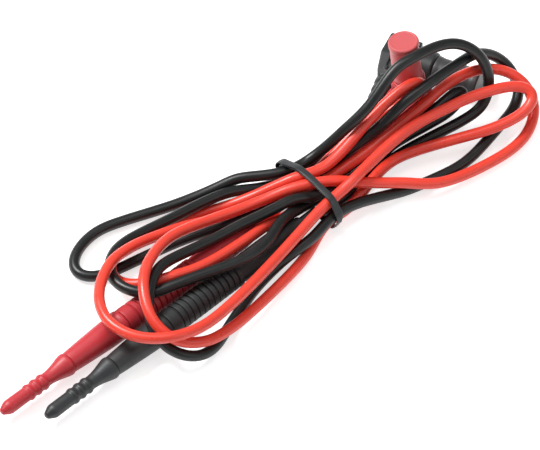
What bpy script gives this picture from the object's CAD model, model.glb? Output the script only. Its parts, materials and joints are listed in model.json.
"""A red and a black test lead, each a needle probe, a long cable and a right-angled plug.

The two cables lie folded in a bundle along x, held at the middle by a twist tie. Z is up. The
probe tips point to -x and the plugs lie at +x. Lengths are in mm in the bundle's own frame,
whose origin stands at HOME in the CAD frame.
"""

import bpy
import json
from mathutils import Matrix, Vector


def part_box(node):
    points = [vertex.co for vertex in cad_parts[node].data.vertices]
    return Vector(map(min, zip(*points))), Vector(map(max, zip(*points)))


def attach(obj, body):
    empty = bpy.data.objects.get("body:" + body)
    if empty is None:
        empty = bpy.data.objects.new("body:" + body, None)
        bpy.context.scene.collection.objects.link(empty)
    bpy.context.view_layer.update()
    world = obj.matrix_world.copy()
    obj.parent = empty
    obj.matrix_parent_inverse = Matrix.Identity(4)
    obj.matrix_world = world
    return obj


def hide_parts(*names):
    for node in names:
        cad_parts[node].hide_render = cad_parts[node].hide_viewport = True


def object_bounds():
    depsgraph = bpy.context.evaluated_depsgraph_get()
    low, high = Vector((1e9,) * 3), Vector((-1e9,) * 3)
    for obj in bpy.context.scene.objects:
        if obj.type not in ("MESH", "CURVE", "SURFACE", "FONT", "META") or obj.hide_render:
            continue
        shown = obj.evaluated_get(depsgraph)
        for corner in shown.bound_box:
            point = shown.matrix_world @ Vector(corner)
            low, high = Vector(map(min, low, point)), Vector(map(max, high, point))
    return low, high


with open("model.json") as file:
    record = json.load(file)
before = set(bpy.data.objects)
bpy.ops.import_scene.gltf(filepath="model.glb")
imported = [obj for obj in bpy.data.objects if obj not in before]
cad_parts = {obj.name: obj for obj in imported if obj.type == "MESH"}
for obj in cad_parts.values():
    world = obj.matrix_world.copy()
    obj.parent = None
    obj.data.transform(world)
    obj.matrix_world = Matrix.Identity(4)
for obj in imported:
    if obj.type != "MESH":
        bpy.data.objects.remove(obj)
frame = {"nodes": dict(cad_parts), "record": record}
import bpy, bmesh, math, json
import numpy as np
from mathutils import Vector

cad_box = [list(v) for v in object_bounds()]
scene = bpy.context.scene
MM = 0.001
COLOURS = ("red", "black")


# ------------------------------------------------------------------ helpers
def unit(v):
    v = np.array(v, float)
    return v / np.linalg.norm(v)


def heading(degrees):
    """A level direction, counted from +x towards +y."""
    a = math.radians(degrees)
    return np.array([math.cos(a), math.sin(a), 0.0])


def add_object(name, data):
    o = bpy.data.objects.new(name, data)
    scene.collection.objects.link(o)
    return o


def smooth(mesh):
    mesh.polygons.foreach_set("use_smooth", [True] * len(mesh.polygons))
    mesh.update()


def finish(o, body, slot, material, *nodes):
    """Gives a piece its material and the body it rides, and names the CAD nodes it replaces."""
    o.data.materials.clear()
    o.data.materials.append(material)
    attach(o, body)
    if nodes:
        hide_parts(*nodes)


def repaint(node, material, count=None):
    """Puts a material in the first `count` slots of a CAD node, or in all of them."""
    o = frame["nodes"][node]
    if not o.material_slots:
        o.data.materials.append(material)
        return
    for slot in list(o.material_slots)[:count]:
        slot.material = material


# ------------------------------------------------------------------ rigid ends, as in the CAD
PROBE_TIP = {"red": np.array([-145.3, -5.2, 5.3]), "black": np.array([-134.8, -16.3, 5.3])}
PROBE_HEADING = {"red": 3.9, "black": 4.6}      # from the tip to the cable
PLUG_ELBOW = {"red": np.array([51, 10, 6.8]), "black": np.array([61.7, 27.8, 6.5])}
PLUG_TAIL = {"red": 188.6, "black": 206.0}      # heading from the elbow to the cable
PLUG_AXIS = {"red": unit([-0.02, 0.13, 0.99]), "black": heading(-64)}   # from elbow to pin
HOME = next(np.array(j["pos_m"]) / MM - PROBE_TIP["red"]
            for j in frame["record"]["behaviour"]["joints"] if j["name"] == "red_tip_cap_slide")


def placement(x_axis, z_axis, origin):
    M = np.eye(4)
    M[:3, 0], M[:3, 1], M[:3, 2] = x_axis, np.cross(z_axis, x_axis), z_axis
    M[:3, 3] = origin + HOME
    return M


def probe_placement(colour):
    return placement(np.array([0, 0, -1.0]), heading(PROBE_HEADING[colour]), PROBE_TIP[colour])


def plug_placement(colour):
    x_axis = unit(heading(PLUG_TAIL[colour]))
    axis = PLUG_AXIS[colour]
    return placement(x_axis, unit(axis - x_axis * (x_axis @ axis)), PLUG_ELBOW[colour])


# ------------------------------------------------------------------ cable routes
# A route is a list of x, y, z, layer. Where strands cross, the higher layer passes over.
CABLE_RADIUS = 1.95
LIFT = 0.9                                      # raises every strand where it is tied
ROW1, ROW2, ROW3 = 2.2, 7.0 - LIFT, 10.8 - LIFT     # heights of the rows under the tie
SAMPLE = 2.5                                    # target step between route samples


def seat(y, z, layer, direction, slope=0.0):
    """A straight pass under the tie, towards +x (1) or -x (-1)."""
    return [[x, y + slope * x, z + LIFT, layer] for x in (-5 * direction, 5 * direction)]


def bend(start, turn, end):
    """Half an ellipse from start, through the turning point, to end."""
    start, turn, end = (np.array(v, float) for v in (start, turn, end))
    centre = (start + end) / 2
    reach, half = turn - centre, (start - end) / 2
    return [centre + reach * math.sin(math.radians(t)) + half * math.cos(math.radians(t))
            for t in range(0, 181, 30)]


def probe_end(colour):
    tip, out = PROBE_TIP[colour], heading(PROBE_HEADING[colour])
    return [np.r_[tip + out * s, 0] for s in (61, 76, 91, 106, 121, 131)]


def plug_end(colour):
    elbow, out = PLUG_ELBOW[colour], heading(PLUG_TAIL[colour])
    return [np.r_[elbow + out * s, 0] for s in (33, 27, 18, 8)]


RED_WAY = (
    probe_end("red") + seat(1.2, ROW2, 3, 1)
    + [[37, 1, 13, 4.5]] + bend([64, 1, 17, 4.5], [86, -11, 8, 5], [66, -26, 2, 5])
    + [[36, -22, 2, 6], [24, -15, 4, 7], [12, -9, 9, 7.5]] + seat(-2, ROW3, 8, -1, -0.5)
    + [[-22, 8, 7, 9]] + bend([-56, 11, 14, 9], [-86, -15, 15, 8], [-62, -26, 3, 7])
    + [[-30, -20, 3, 4], [-19, -16, 2, 3]] + seat(-10.1, ROW1, 1, 1)
    + [[18, -7, 6, 6], [31, -4, 5, 7]]
    + bend([65, -18, 8, 8], [83, -18, 12, 8.5], [70, -7, 14, 9])
    + [[52, -4, 14, 9], [34, -4, 14, 9.5]] + seat(-8.1, ROW3 - 1.5, 9.5, -1, 0.15)
    + [[-28, -15, 9, 9.5]] + bend([-72, -25, 13, 9], [-98, -5, 16, 8], [-68, 19, 10, 7])
    + [[-37, 17, 4, 4], [-20, 13, 3, 2]] + seat(7.9, ROW1, 1.5, 1)
    + [[24, 8, 6, 3], [34, 7, 10, 3]] + bend([43, 6, 15, 3.5], [53, 6, 21, 4], [45, 6, 24, 6])
    + [[29, 5, 18, 6.5]] + seat(3.3, ROW3, 7, -1, -0.2)
    + [[-13, 9, 6, 4], [-24, 18, 3, 2]]
    + bend([-60, 26, 3, 1.5], [-80, 14, 6, 1.5], [-64, -1, 3, 1.5])
    + [[-31, 1, 3, 1]] + seat(3.4, ROW1, 0.3, 1) + plug_end("red"))
BLACK_WAY = (
    probe_end("black") + seat(-5.6, ROW1, 0.2, 1)
    + [[20, -4, 3, 2], [34, -3, 5, 2]] + bend([60, -9, 9, 3], [73, -5, 22, 5], [60, 8, 34, 7])
    + [[44, 10, 35, 7.5], [26, 6, 25, 7]] + seat(11, ROW2 + 0.4, 6, -1)
    + [[-17, 17, 5, 4], [-36, 27, 2, 4]]
    + bend([-67, 38, 2, 3], [-85, 30, 2, 2], [-73, 21, 2, 0.8])
    + [[-46, 15, 5, 2], [-30, 9, 6, 3]] + seat(5.7, ROW2, 3.6, 1)
    + [[26, 3, 14, 5], [36, 2, 21, 5.5], [44, 1, 25, 5.5]]
    + bend([65, 1, 26, 6], [83, -1, 11, 3.5], [68, -15, 4, 2])
    + [[50, -20, 2, 1.5], [36, -19, 2, 1]] + seat(-12.4, ROW2, 4.5, -1)
    + [[-15, -15, 6, 6.5], [-25, -15, 5, 6.5], [-41, -17, 2, 5]]
    + bend([-70, -29, 2, 5], [-86, -17, 10, 5.5], [-67, 3, 11, 6])
    + [[-41, 2, 7, 6]] + seat(-3.4, ROW2, 3.9, 1)
    + [[27, -1, 8, 4]] + bend([56, -3, 17, 3.5], [65, -3, 15.5, 3], [56, -5, 10, 2.5])
    + [[31, -2, 4, 2]] + seat(-1.1, ROW1, 0.9, -1)
    + [[-19, -5, 6, 3.4], [-37, -11, 9, 3.4]]
    + bend([-68, -2, 11, 3.4], [-82, 9, 10, 3.2], [-68, 23, 8, 3])
    + [[-46, 22, 6, 3], [-32, 20, 5, 3]] + seat(12.4, ROW1, 0.4, 1)
    + [[22, 16, 4, 1]] + plug_end("black"))


def hermite(points, slopes, i, s, step=1.0):
    """The cubic between points i and i + 1, at share s of the way."""
    return ((2 * s**3 - 3 * s**2 + 1) * points[i] + (s**3 - 2 * s**2 + s) * step * slopes[i]
            + (3 * s**2 - 2 * s**3) * points[i + 1] + (s**3 - s**2) * step * slopes[i + 1])


def relaxed(values):
    """Averages each row with its neighbours and keeps the ends."""
    out = values.copy()
    out[1:-1] = (values[:-2] + 2 * values[1:-1] + values[2:]) / 4
    return out


def spline(way):
    """A centripetal spline through the route, evenly sampled and slightly relaxed."""
    way = np.array([np.array(w, float) for w in way])
    step = np.sqrt(np.linalg.norm(np.diff(way[:, :3], axis=0), axis=1))
    slope = np.zeros_like(way)
    for i in range(1, len(way) - 1):
        before, after = step[i - 1], step[i]
        slope[i] = ((way[i] - way[i - 1]) / before * after
                    + (way[i + 1] - way[i]) / after * before) / (before + after)
    slope[0] = (way[1] - way[0]) / step[0]
    slope[-1] = (way[-1] - way[-2]) / step[-1]
    out = []
    for i, h in enumerate(step):
        pieces = max(1, int(math.floor(h * h / SAMPLE + 0.5)))
        out += [hermite(way, slope, i, j / pieces, h) for j in range(pieces)]
    out.append(way[-1])
    out = np.array(out)
    for _ in range(3):
        out[:, :3] = relaxed(out[:, :3])
    return out


# ------------------------------------------------------------------ settling the cables
GAP = 4.5                   # least distance between strand centres
STOP_CLEARANCE = 2.2        # kept between a strand's centre and a rigid end
FLOOR_Z, TIED_FLOOR_Z = 2.1, 3.0    # lowest strand centre, and the same under the tie
TIED_HALF = 5               # half length of the tied stretch in x
ROUNDS = 100
PROBE_STATIONS = [30, 36, 54, 112, 122]     # distance from the tip
PROBE_RADII = [4.2, 4, 5, 4.6, 2.6]


def stops():
    """Balls (x, y, z, radius) that stand for the probes and plugs."""
    out = []
    for colour in COLOURS:
        for s in range(30, 121, 2):
            out.append(np.r_[PROBE_TIP[colour] + heading(PROBE_HEADING[colour]) * s,
                             np.interp(s, PROBE_STATIONS, PROBE_RADII)])
    for colour in COLOURS:
        elbow = PLUG_ELBOW[colour]
        for s in range(-4, 27, 2):
            radius = 6 if s < 11 else 4.4 - (s - 11) / 16 * 1.3
            out.append(np.r_[elbow + heading(PLUG_TAIL[colour]) * s, radius])
        for s in range(2, 37, 2):
            out.append(np.r_[elbow + PLUG_AXIS[colour] * s, 6.5 if s < 13 else 6])
    return np.array(out)


def mean_push(at, pushes, weights, count):
    """Weighted mean of the pushes on each sample. The pushes come already weighted."""
    total, weight = np.zeros((count, 3)), np.zeros(count)
    np.add.at(total, at, pushes)
    np.add.at(weight, at, weights)
    return total / np.maximum(weight, 1e-9)[:, None]


def settle(red, black):
    """Pushes overlapping strands apart, and clear of the rigid ends and the floor."""
    start = np.concatenate([red[:, :3], black[:, :3]])
    layer = np.concatenate([red[:, 3], black[:, 3]])
    red_count, count = len(red), len(start)
    black_count = count - red_count
    lead = np.repeat([0, 1], [red_count, black_count])
    index = np.r_[np.arange(red_count), np.arange(black_count)]
    length = np.array([red_count, black_count])[lead]

    # pairs of samples that may touch; the cable ends stay fixed
    free = (index >= 27) & (index < length - 14)
    level = np.linalg.norm(start[:, None, :2] - start[None, :, :2], axis=2)
    neighbours = (lead[:, None] == lead[None]) & (abs(index[:, None] - index[None]) < 9)
    I, J = np.nonzero((level < 7) & ~neighbours & free[:, None])
    side = np.where(layer[I] > layer[J], 1.0, -1.0)
    ordered = abs(layer[I] - layer[J]) > 0.25

    balls = stops()
    inner = (index >= 31) & (index < length - 18)
    level = np.linalg.norm(start[:, None, :2] - balls[None, :, :2], axis=2)
    SI, SJ = np.nonzero((level < 10) & inner[:, None])

    P = start.copy()
    for turn in range(ROUNDS):
        # strands in the wrong order swap places straight up or down, others part along the gap
        d = P[I] - P[J]
        flat = np.linalg.norm(d[:, :2], axis=1)
        apart = np.linalg.norm(d, axis=1) + 1e-9
        wrong = (d[:, 2] * side < 0) & (flat < 3) & ordered
        hit = (apart < GAP) & ~wrong
        swap = (np.sqrt(np.maximum(GAP * GAP - flat * flat, 0)) + abs(d[:, 2])) / 2
        amount = np.where(wrong, swap, np.where(hit, (GAP - apart) / 2, 0))
        upright = np.c_[np.zeros((len(side), 2)), side]
        push = np.where(wrong[:, None], upright, d / apart[:, None]) * amount[:, None]
        strands = mean_push(I, push * amount[:, None], amount, count)

        # away from the rigid ends, always with an upward part
        away = P[SI] - balls[SJ, :3]
        depth = np.maximum(balls[SJ, 3] + STOP_CLEARANCE - np.linalg.norm(away, axis=1), 0)
        away[:, 2] = np.maximum(away[:, 2], 0) + 1
        away /= np.linalg.norm(away, axis=1)[:, None]
        P = P + strands + mean_push(SI, away * (depth * depth)[:, None], depth, count)
        lowest = np.where(abs(P[:, 0]) < TIED_HALF, TIED_FLOOR_Z, FLOOR_Z)
        P[:, 2] = np.maximum(P[:, 2], lowest)

        # smooth the shift, and draw it back a little until the last rounds
        shift = P - start
        shift[~free] = 0
        for _ in range(2 if turn < ROUNDS - 15 else 1):
            shift = relaxed(shift)
            shift[~free] = 0
        if turn < ROUNDS - 25:
            shift = shift * 0.995
        P = start + shift
    return P[:red_count], P[red_count:]


red_path, black_path = settle(spline(RED_WAY), spline(BLACK_WAY))


# ------------------------------------------------------------------ mesh builders
def grid_mesh(name, rows, caps=True):
    """A skin over closed rows of points, with optional flat ends."""
    rows = (np.asarray(rows) + HOME) * MM
    m, n = rows.shape[:2]
    faces = []
    for i in range(m - 1):
        for k in range(n):
            a, b = i * n + k, i * n + (k + 1) % n
            faces.append((a, b, b + n, a + n))
    if caps:
        faces.append(tuple(range(n - 1, -1, -1)))
        faces.append(tuple((m - 1) * n + k for k in range(n)))
    mesh = bpy.data.meshes.new(name)
    mesh.from_pydata(rows.reshape(-1, 3).tolist(), [], faces)
    mesh.validate()
    smooth(mesh)
    return add_object(name, mesh)


def finer(path, pieces):
    """A smooth curve through the samples, with so many pieces to each step."""
    slope = np.zeros_like(path)
    slope[1:-1] = (path[2:] - path[:-2]) / 2
    slope[0], slope[-1] = path[1] - path[0], path[-1] - path[-2]
    out = [hermite(path, slope, i, j / pieces)
           for i in range(len(path) - 1) for j in range(pieces)]
    return np.array(out + [path[-1]])


def cross_axes(path):
    """Two axes square to the path at each point, carried along without twist."""
    along = np.zeros_like(path)
    along[1:-1] = path[2:] - path[:-2]
    along[0], along[-1] = path[1] - path[0], path[-1] - path[-2]
    along /= np.linalg.norm(along, axis=1)[:, None]
    across = [unit(np.cross(along[0], [0, 0, 1]))]
    for t in along[1:]:
        across.append(unit(across[-1] - t * (across[-1] @ t)))
    across = np.array(across)
    return across, np.cross(along, across)


def tube(name, path, radius, sides=28, pieces=3):
    path = finer(path, pieces)
    a = (np.arange(sides) * 2 * math.pi / sides)[:, None]
    return grid_mesh(name, [p + radius * (np.cos(a) * u + np.sin(a) * v)
                            for p, u, v in zip(path, *cross_axes(path))])


def soften_outline(outline, rounding, steps=4):
    """Rounds the corners of a closed outline, except those on the axis."""
    P = [np.array(p, float) for p in outline]
    out = []
    for i, b in enumerate(P):
        if b[0] < 1e-6:
            out.append(b)
            continue
        a, c = P[i - 1], P[(i + 1) % len(P)]
        before, after = np.linalg.norm(a - b), np.linalg.norm(c - b)
        cut = min(rounding, 0.45 * before, 0.45 * after)
        first, last = b + (a - b) / before * cut, b + (c - b) / after * cut
        for j in range(steps + 1):
            s = j / steps
            out.append((1 - s) ** 2 * first + 2 * s * (1 - s) * b + s * s * last)
    return out


def lathe(name, outline, place, rounding, segments, seam):
    """Turns a closed outline about local z. A seam adds a fine parting line on both sides."""
    bm = bmesh.new()

    def vertex(x, y, z):
        return bm.verts.new((place @ np.array([x, y, z, 1]))[:3] * MM)

    rings = []
    for radius, z in soften_outline(outline, rounding):
        if radius < 1e-6:
            rings.append([vertex(0, 0, z)])
            continue
        ring = []
        for k in range(segments):
            a = 2 * math.pi * k / segments
            ridge = seam and radius > 2.2 and abs(math.sin(a)) > 0.9995
            r = radius + 0.045 if ridge else radius
            ring.append(vertex(r * math.cos(a), r * math.sin(a), z))
        rings.append(ring)
    for i, A in enumerate(rings):
        B = rings[(i + 1) % len(rings)]
        if len(A) == 1 and len(B) == 1:
            continue
        for k in range(segments):
            j = (k + 1) % segments
            if len(A) == 1:
                bm.faces.new((A[0], B[j], B[k]))
            elif len(B) == 1:
                bm.faces.new((A[k], A[j], B[0]))
            else:
                bm.faces.new((A[k], A[j], B[j], B[k]))
    bmesh.ops.recalc_face_normals(bm, faces=bm.faces)
    mesh = bpy.data.meshes.new(name)
    bm.to_mesh(mesh)
    bm.free()
    smooth(mesh)
    return add_object(name, mesh)


def moulded(name, node, voxel=0.2, rounds=6):
    """A copy of a CAD node's shape with its edges rounded as a moulding's are."""
    sharp = frame["nodes"][node].data.copy()
    o = add_object(name, sharp)
    remesh = o.modifiers.new("remesh", "REMESH")
    remesh.mode, remesh.voxel_size, remesh.use_smooth_shade = "VOXEL", voxel * MM, True
    soften = o.modifiers.new("soft", "SMOOTH")
    soften.factor, soften.iterations = 0.5, rounds
    mesh = bpy.data.meshes.new_from_object(o.evaluated_get(bpy.context.evaluated_depsgraph_get()))
    mesh.name = name
    o.modifiers.clear()
    o.data = mesh
    bpy.data.meshes.remove(sharp)
    smooth(mesh)
    return o


# ------------------------------------------------------------------ materials
class Shader:
    """A Principled material in object coordinates, with helpers that add its nodes."""

    def __init__(self, name):
        self.material = bpy.data.materials.new(name)
        self.material.use_nodes = True
        self.tree = self.material.node_tree
        self.tree.nodes.clear()
        output = self.node("OutputMaterial")
        self.surface = self.node("BsdfPrincipled")
        self.link(self.surface.outputs[0], output.inputs[0])
        self.place = self.node("TexCoord").outputs["Object"]

    def node(self, kind):
        return self.tree.nodes.new("ShaderNode" + kind)

    def link(self, source, target):
        self.tree.links.new(source, target)

    def feed(self, name, value):
        """Sets or links an input of the surface."""
        socket = self.surface.inputs[name]
        if isinstance(value, bpy.types.NodeSocket):
            self.link(value, socket)
        else:
            socket.default_value = value

    def noise(self, scale, detail, rough=0.55, stretch=None, distortion=0.0):
        place = self.place
        if stretch is not None:
            mapping = self.node("Mapping")
            mapping.inputs["Scale"].default_value = stretch
            self.link(place, mapping.inputs[0])
            place = mapping.outputs[0]
        n = self.node("TexNoise")
        n.inputs["Scale"].default_value = scale
        n.inputs["Detail"].default_value = detail
        n.inputs["Roughness"].default_value = rough
        n.inputs["Distortion"].default_value = distortion
        self.link(place, n.inputs["Vector"])
        return n.outputs["Fac"]

    def ramp(self, factor, low, high):
        """Blends two colours over the middle of a noise's range."""
        n = self.node("ValToRGB")
        for element, position, colour in zip(n.color_ramp.elements, (0.3, 0.7), (low, high)):
            element.position, element.color = position, (*colour, 1)
        self.link(factor, n.inputs[0])
        return n.outputs[0]

    def span(self, factor, source, target):
        """Maps the source range (low, high) onto the target range."""
        n = self.node("MapRange")
        for i, value in enumerate((*source, *target), 1):
            n.inputs[i].default_value = value
        self.link(factor, n.inputs[0])
        return n.outputs[0]

    def roughness(self, factor, limits):
        self.feed("Roughness", self.span(factor, (0.3, 0.7), limits))

    def scatter(self, weight, radius):
        if weight:
            self.feed("Subsurface Weight", weight)
            self.feed("Subsurface Radius", radius)
            self.feed("Subsurface Scale", 1.2 * MM)

    def bump(self, *layers):
        """Stacks bumps, each given as height, strength and distance in mm."""
        normal = None
        for height, strength, distance in layers:
            n = self.node("Bump")
            n.inputs["Strength"].default_value = strength
            n.inputs["Distance"].default_value = distance * MM
            self.link(height, n.inputs["Height"])
            if normal is not None:
                self.link(normal, n.inputs["Normal"])
            normal = n.outputs[0]
        self.feed("Normal", normal)


def tint(colour, factor):
    return tuple(min(1, v * factor) for v in colour)


def silicone(name, colour, roughness, scatter, specular):
    """Soft silicone jacket: satin sheen, faint clouding and a very fine orange-peel."""
    s = Shader(name)
    cloud = s.noise(scale=60, detail=3)
    s.feed("Base Color", s.ramp(cloud, tint(colour, 0.93), tint(colour, 1.06)))
    s.roughness(s.noise(scale=260, detail=5), roughness)
    s.feed("Specular IOR Level", specular)
    s.scatter(scatter, radius=(1.0, 0.25, 0.12))
    s.bump((s.noise(scale=1600, detail=3), 0.12, 0.05), (s.noise(scale=220, detail=2), 0.10, 0.15))
    return s.material


def plastic(name, colour, roughness, grain, scatter=0.0, scuff=0.5):
    """Moulded plastic with a spark-eroded grain, faint flow clouding and light scuffs."""
    s = Shader(name)
    cloud = s.noise(scale=35, detail=3, distortion=0.4)
    base = s.ramp(cloud, tint(colour, 0.95), tint(colour, 1.05))
    scratches = s.noise(scale=420, detail=6, rough=0.7, stretch=(1, 1, 0.25))
    marks = s.span(scratches, (0.66, 0.8), (0, scuff))
    mix = s.node("MixRGB")
    s.link(marks, mix.inputs[0])
    s.link(base, mix.inputs[1])
    mix.inputs[2].default_value = (*(min(1, v * 1.35 + 0.03) for v in colour), 1)   # scuffed
    s.feed("Base Color", mix.outputs[0])
    s.roughness(s.noise(scale=300, detail=5), roughness)
    s.feed("Specular IOR Level", 0.45)
    s.scatter(scatter, radius=(1.0, 0.2, 0.1))
    cells = s.node("TexVoronoi")
    cells.inputs["Scale"].default_value = 2600
    s.link(s.place, cells.inputs["Vector"])
    s.bump((cells.outputs["Distance"], grain, 0.03), (s.noise(scale=500, detail=3), 0.15, 0.06))
    return s.material


def metal(name, colour, roughness, line_scale=1200):
    """Metal with fine surface lines and a cloudy roughness."""
    s = Shader(name)
    s.feed("Metallic", 1)
    cloud = s.noise(scale=150, detail=4)
    s.feed("Base Color", s.ramp(cloud, tint(colour, 0.9), tint(colour, 1.05)))
    s.roughness(s.noise(scale=500, detail=5), roughness)
    s.bump((s.noise(scale=line_scale, detail=4, rough=0.6), 0.1, 0.02))
    return s.material


RED, BLACK = (0.47, 0.026, 0.035), (0.022, 0.024, 0.025)    # the hard plastics
CABLE = {
    "red": silicone("silicone_red", (0.78, 0.055, 0.032), roughness=(0.26, 0.38),
                    scatter=0.10, specular=0.5),
    "black": silicone("silicone_black", (0.008, 0.009, 0.009), roughness=(0.30, 0.42),
                      scatter=0.0, specular=0.42)}
BODY = {"red": plastic("plastic_red", RED, roughness=(0.36, 0.5), grain=0.2, scatter=0.06),
        "black": plastic("plastic_black", BLACK, roughness=(0.38, 0.52), grain=0.2)}
GRIP = {
    "red": plastic("grip_red", tint(RED, 0.95), roughness=(0.5, 0.62), grain=0.35, scatter=0.06),
    "black": plastic("grip_black", tint(BLACK, 0.8), roughness=(0.5, 0.62), grain=0.35)}
CAP = {"red": plastic("cap_red", (0.56, 0.10, 0.105), roughness=(0.34, 0.46), grain=0.15,
                      scatter=0.08),
       "black": plastic("cap_black", (0.046, 0.047, 0.048), roughness=(0.38, 0.5), grain=0.15)}
INSERT = {"red": plastic("insert_red", tint(RED, 0.8), roughness=(0.4, 0.5), grain=0.1),
          "black": plastic("insert_black", tint(BLACK, 0.7), roughness=(0.4, 0.5), grain=0.1)}
TIE = plastic("tie_ribbon", (0.024, 0.026, 0.028), roughness=(0.32, 0.45), grain=0.1, scuff=0.3)
NICKEL = metal("nickel_plate", (0.80, 0.78, 0.74), roughness=(0.16, 0.3))
BRASS = metal("brass_crimp", (0.78, 0.58, 0.28), roughness=(0.25, 0.4))
COPPER = metal("copper_strand", (0.80, 0.42, 0.25), roughness=(0.3, 0.45), line_scale=600)

# ------------------------------------------------------------------ cables
for colour, path in zip(COLOURS, (red_path, black_path)):
    finish(tube(f"{colour}_cable", path, CABLE_RADIUS), "leads", f"{colour}_cable",
           CABLE[colour], f"{colour}_cable_jacket")


# ------------------------------------------------------------------ probes and plugs
def ribs(first, count, pitch, half_foot, half_crest, low, high):
    """Evenly spaced ribs along z, from the low radius to the high one."""
    out = []
    for i in range(count):
        z = first + i * pitch
        out += [[low, z - half_foot], [high, z - half_crest],
                [high, z + half_crest], [low, z + half_foot]]
    return out


# Closed outlines of radius, z. On a probe z runs from the tip, on a plug from the elbow.
TIP_CAP_OUTLINE = (
    [[0, 0], [0.8, 0], [1.25, 0.35], [2.3, 2.4], [2.6, 3.4]]
    + ribs(first=12.7, count=3, pitch=3.2, half_foot=1.1, half_crest=0.45, low=2.55, high=2.95)
    + [[2.45, 21], [2.6, 23], [2.9, 24.8], [3.35, 26.6], [3.8, 28.3], [4.1, 29.6], [4.15, 30.2],
       [4.05, 31], [2.15, 31], [2.15, 26], [1.25, 26], [1.25, 9], [0, 9]])
BARREL_OUTLINE = [
    [1.02, 26.6], [1.8, 26.6], [2.1, 26.9], [2.1, 31.2], [3.65, 31.2], [3.8, 31.4], [4.05, 34.5],
    [4.35, 39], [4.65, 44], [4.92, 49], [5.0, 54.2], [5.25, 54.9], [5.3, 55.3], [5.3, 55.9],
    [5.1, 56.3], [4.2, 56.3], [4.2, 60], [1.92, 60], [1.92, 37.9], [1.02, 37.9]]
GRIP_OUTLINE = (
    [[4.22, 56.6], [4.85, 56.6], [5.0, 57.2], [5.0, 60.6], [4.75, 61.2]]
    + ribs(first=62.6, count=12, pitch=2.43, half_foot=1.03, half_crest=0.86, low=4.2, high=4.9)
    + [[4.55 - 0.1 * ((z - 92) / 20) ** 2, z] for z in range(92, 113, 4)]
    + [[4.2, 114.5], [3.7, 117], [3.05, 120], [2.7, 121.7], [2.6, 122], [2.35, 122],
       [2.25, 121.7], [2.03, 118], [2.03, 60.1], [4.22, 60.1]])
RIM, END = 13.2, 30.0       # z of the plug cover's open rim and closed end
PLUG_COVER_OUTLINE = [
    [4.75, RIM], [5.3, RIM], [5.4, RIM + 0.3], [5.35, RIM + 1], [5.15, RIM + 1.8],
    [5.15, END - 2.9], [5.35, END - 2.4], [5.45, END - 2], [5.45, END - 0.5], [5.05, END - 0.05],
    [4.7, END], [4.4, END - 0.12], [0, END - 0.12], [0, 28.2], [4.75, 28.2]]

# piece, outline, placement, rounding, segments, seam, body (None for the leads), material, node
TURNED = (
    ("probe_tip_cap", TIP_CAP_OUTLINE, probe_placement, 0.35, 80, True,
     "tip_cover", BODY, "tip_cap"),
    ("probe_barrel", BARREL_OUTLINE, probe_placement, 0.3, 112, True, None, BODY, "barrel"),
    ("probe_grip", GRIP_OUTLINE, probe_placement, 0.22, 112, False, None, GRIP, "grip_sleeve"),
    ("plug_cover", PLUG_COVER_OUTLINE, plug_placement, 0.3, 96, False,
     "plug_cover", CAP, "plug_cap"))

for colour in COLOURS:
    slot = f"{colour}_plastic"
    for piece, outline, place, rounding, segments, seam, body, material, node in TURNED:
        o = lathe(f"{colour}_{piece}", outline, place(colour), rounding, segments, seam)
        finish(o, f"{colour}_{body}" if body else "leads", slot, material[colour],
               f"{colour}_{node}")
    finish(moulded(f"{colour}_plug_moulding", f"{colour}_plug_body"), "leads", slot,
           BODY[colour], f"{colour}_plug_body")
    for part, material in (
            ("needle", NICKEL), ("banana_pin", NICKEL), ("lantern_spring", NICKEL),
            ("needle_holder", BRASS), ("plug_ferrule", BRASS), ("conductor", COPPER),
            ("plug_shroud", INSERT[colour])):
        repaint(f"{colour}_{part}", material)

# ------------------------------------------------------------------ twist tie
# The ribbon lies in the plane x = TIE_X. Its outlines are lists of y, z.
tie_low, tie_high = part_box("twist_tie")
TIE_X = float((tie_low[0] + tie_high[0]) / 2 / MM - HOME[0])
BAND_RADIUS = CABLE_RADIUS + 0.66       # from a strand's centre to the band's middle
LAP_RADIUS = BAND_RADIUS + 0.78
FOLD, TAIL = (15.6, 8.5), (-16.0, 6.0)  # ends of the lap
LAP_CENTRE_Z = 8                        # the angles along the lap are taken about this height
# share of the length, then the size there
BAND_WIDTH, BAND_THICKNESS = ([0, 1], [2.3, 2.3]), ([0, 1], [0.74, 0.74])
LAP_WIDTH = ([0, 0.06, 0.14, 0.3, 0.6, 0.8, 0.9, 0.945, 1],
             [2.9, 3.3, 2.9, 2.5, 2.2, 2.6, 3.2, 2.7, 0.2])
LAP_THICKNESS = ([0, 0.9, 1], [0.62, 0.6, 0.3])


def crossings():
    """Where the strands pass the tie's plane and two planes beside it."""
    out = []
    for path in (red_path, black_path):
        for offset in (-1.5, 0, 1.5):
            g = path[:, 0] - TIE_X - offset
            for i in range(len(path) - 1):
                if g[i] * g[i + 1] <= 0 and g[i] != g[i + 1]:
                    p = path[i] + (path[i + 1] - path[i]) * (g[i] / (g[i] - g[i + 1]))
                    out.append((p[1], p[2]))
    return out


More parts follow.
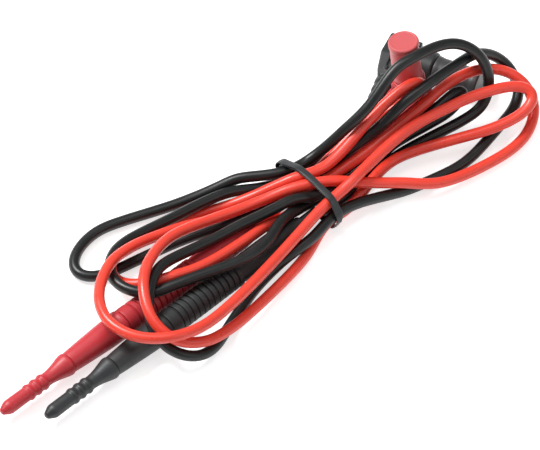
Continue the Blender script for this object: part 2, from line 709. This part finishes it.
def wrap(centres, radius, rounds, samples=240):
    """The eased convex outline round equal discs, evenly sampled and counter-clockwise."""
    angles = np.arange(0, 2 * math.pi, math.pi / 36)
    cloud = sorted({(round(y + radius * math.cos(t), 6), round(z + radius * math.sin(t), 6))
                    for y, z in centres for t in angles})

    def half(points):
        h = []
        for p in points:
            while len(h) > 1 and ((h[-1][0] - h[-2][0]) * (p[1] - h[-2][1])
                                  - (h[-1][1] - h[-2][1]) * (p[0] - h[-2][0])) <= 0:
                h.pop()
            h.append(p)
        return h[:-1]

    hull = np.array(half(cloud) + half(cloud[::-1]))
    hull = np.r_[hull, hull[:1]]
    s = np.r_[0, np.cumsum(np.linalg.norm(np.diff(hull, axis=0), axis=1))]
    t = np.linspace(0, s[-1], samples, endpoint=False)
    loop = np.c_[np.interp(t, s, hull[:, 0]), np.interp(t, s, hull[:, 1])]
    for _ in range(rounds):
        loop = (np.roll(loop, 1, 0) + 2 * loop + np.roll(loop, -1, 0)) / 4
    return loop


def ribbon(name, outline, width, thickness, closed):
    """Sweeps a flat section with rounded edges and a raised middle, where the wire runs."""
    points = np.array([[TIE_X, y, z] for y, z in outline])
    if closed:
        along = np.roll(points, -1, 0) - np.roll(points, 1, 0)
    else:
        along = np.gradient(points, axis=0)
    along /= np.linalg.norm(along, axis=1)[:, None]
    share = np.linspace(0, 1, len(points))
    rows = []
    for p, t, w, h in zip(points, along, np.interp(share, *width) / 2,
                          np.interp(share, *thickness) / 2):
        normal = unit(np.cross(t, [1.0, 0, 0]))
        across = np.cross(normal, t)
        section = []
        for k in range(28):
            a = 2 * math.pi * k / 28
            c, s = math.cos(a), math.sin(a)
            x = w * math.copysign(abs(c) ** 0.35, c)
            rise = 0.72 + 0.28 * math.exp(-(x / 0.45) ** 2)
            y = h * math.copysign(abs(s) ** 0.6, s) * rise
            section.append(p + across * x + normal * y)
        rows.append(section)
    if closed:
        rows.append(rows[0])
    return grid_mesh(name, rows, caps=not closed)


def lap_outline(centres):
    """From a rounded fold at the +y side, over the top, to a tail at the -y side."""
    def angle(y, z):
        return np.arctan2(z - LAP_CENTRE_Z, y)

    loop = wrap(centres, LAP_RADIUS, rounds=27)
    loop = np.roll(loop, -int(np.argmin(abs(angle(*loop.T) - angle(*FOLD)))), 0)
    angles = np.unwrap(angle(*loop.T))
    lap = loop[:int(np.argmin(abs(angles - angle(*TAIL) - 2 * math.pi)))]

    # the lap stands off the band near the fold
    step = np.gradient(lap, axis=0)
    outward = np.c_[step[:, 1], -step[:, 0]] / np.linalg.norm(step, axis=1)[:, None]
    s = np.r_[0, np.cumsum(np.linalg.norm(np.diff(lap, axis=0), axis=1))]
    lap = lap + outward * (0.9 * np.exp(-(s / 2.4) ** 2))[:, None]

    ahead = unit(lap[1] - lap[0])
    outward = np.array([ahead[1], -ahead[0]])
    fold = [lap[0] - ahead * 1.5 * math.sin(t) - outward * 1.6 * (1 - math.cos(t)) / 2
            for t in np.linspace(math.pi, 0, 13)[:-1]]
    return np.r_[np.array(fold), lap]


centres = crossings()
finish(ribbon("tie_band", wrap(centres, BAND_RADIUS, rounds=11), BAND_WIDTH, BAND_THICKNESS,
              closed=True), "leads", "tie_plastic", TIE, "twist_tie")
finish(ribbon("tie_lap", lap_outline(centres), LAP_WIDTH, LAP_THICKNESS, closed=False),
       "leads", "tie_plastic", TIE)
repaint("tie_wire", NICKEL, count=1)


# ------------------------------------------------------------------ stage
def floor_white():
    """White floor that glows more to the camera and in reflections than it lights the scene."""
    s = Shader("floor_white")
    s.feed("Base Color", s.ramp(s.noise(scale=3, detail=2), (0.72,) * 3, (0.75,) * 3))
    s.feed("Roughness", 0.7)
    s.feed("Emission Color", (1, 1, 1, 1))
    rays = s.node("LightPath")
    seen = s.node("Math")
    seen.operation = "MAXIMUM"
    s.link(rays.outputs["Is Camera Ray"], seen.inputs[0])
    s.link(rays.outputs["Is Glossy Ray"], seen.inputs[1])
    s.feed("Emission Strength", s.span(seen.outputs[0], (0, 1), (0.22, 0.66)))
    return s.material


lowest = min(cad_box[0][2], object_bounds()[0][2])
bpy.ops.mesh.primitive_plane_add(size=24, location=(0, 0, lowest - 0.05 * MM))
floor = bpy.context.object
floor.name = "floor"
floor.data.materials.append(floor_white())

world = bpy.data.worlds.new("studio")
scene.world = world
world.use_nodes = True
background = world.node_tree.nodes["Background"]
background.inputs["Color"].default_value = (1, 1, 1, 1)
background.inputs["Strength"].default_value = 0.36

# the camera's axes: towards the camera, and right and up in the view
azimuth, elevation = math.radians(-40), math.radians(50)
back = Vector((math.sin(azimuth) * math.cos(elevation),
               -math.cos(azimuth) * math.cos(elevation), math.sin(elevation)))
right = Vector((math.cos(azimuth), math.sin(azimuth), 0))
up = Vector((-math.sin(azimuth) * math.sin(elevation),
             math.cos(azimuth) * math.sin(elevation), math.cos(elevation)))
middle = Vector((HOME * MM).tolist())


def place_facing(o, where, direction):
    o.location = where
    o.rotation_mode = "QUATERNION"
    o.rotation_quaternion = direction.to_track_quat("-Z", "Y")


def area(name, offset, size, power):
    """A disk light at an offset from the middle, in metres, aimed at it."""
    light = bpy.data.lights.new(name, "AREA")
    light.shape, light.size, light.energy = "DISK", size, power
    where = offset + middle
    place_facing(add_object(name, light), where, middle - where)


area("key", up * 0.75 - right * 0.55 + back * 0.5, size=0.42, power=12.5)
area("fill", right * 0.9 + back * 0.9, size=0.9, power=2)
area("top", Vector((0, 0, 1.3)), size=0.7, power=3)

VIEW_WIDTH = 187.5          # width of the view at the target, mm
VIEW_RIGHT, VIEW_UP = -16.6207, -7.44828    # the target's shift from the middle, mm
DISTANCE = 3.2              # m
lens = bpy.data.cameras.new("camera")
camera = add_object("camera", lens)
lens.sensor_width = 36
lens.lens = 36 * DISTANCE / (VIEW_WIDTH * MM)
lens.clip_start, lens.clip_end = 0.05, 50
target = middle + (right * VIEW_RIGHT + up * VIEW_UP) * MM
place_facing(camera, target + back * DISTANCE, -back)
scene.camera = camera
scene.view_settings.view_transform = "Standard"
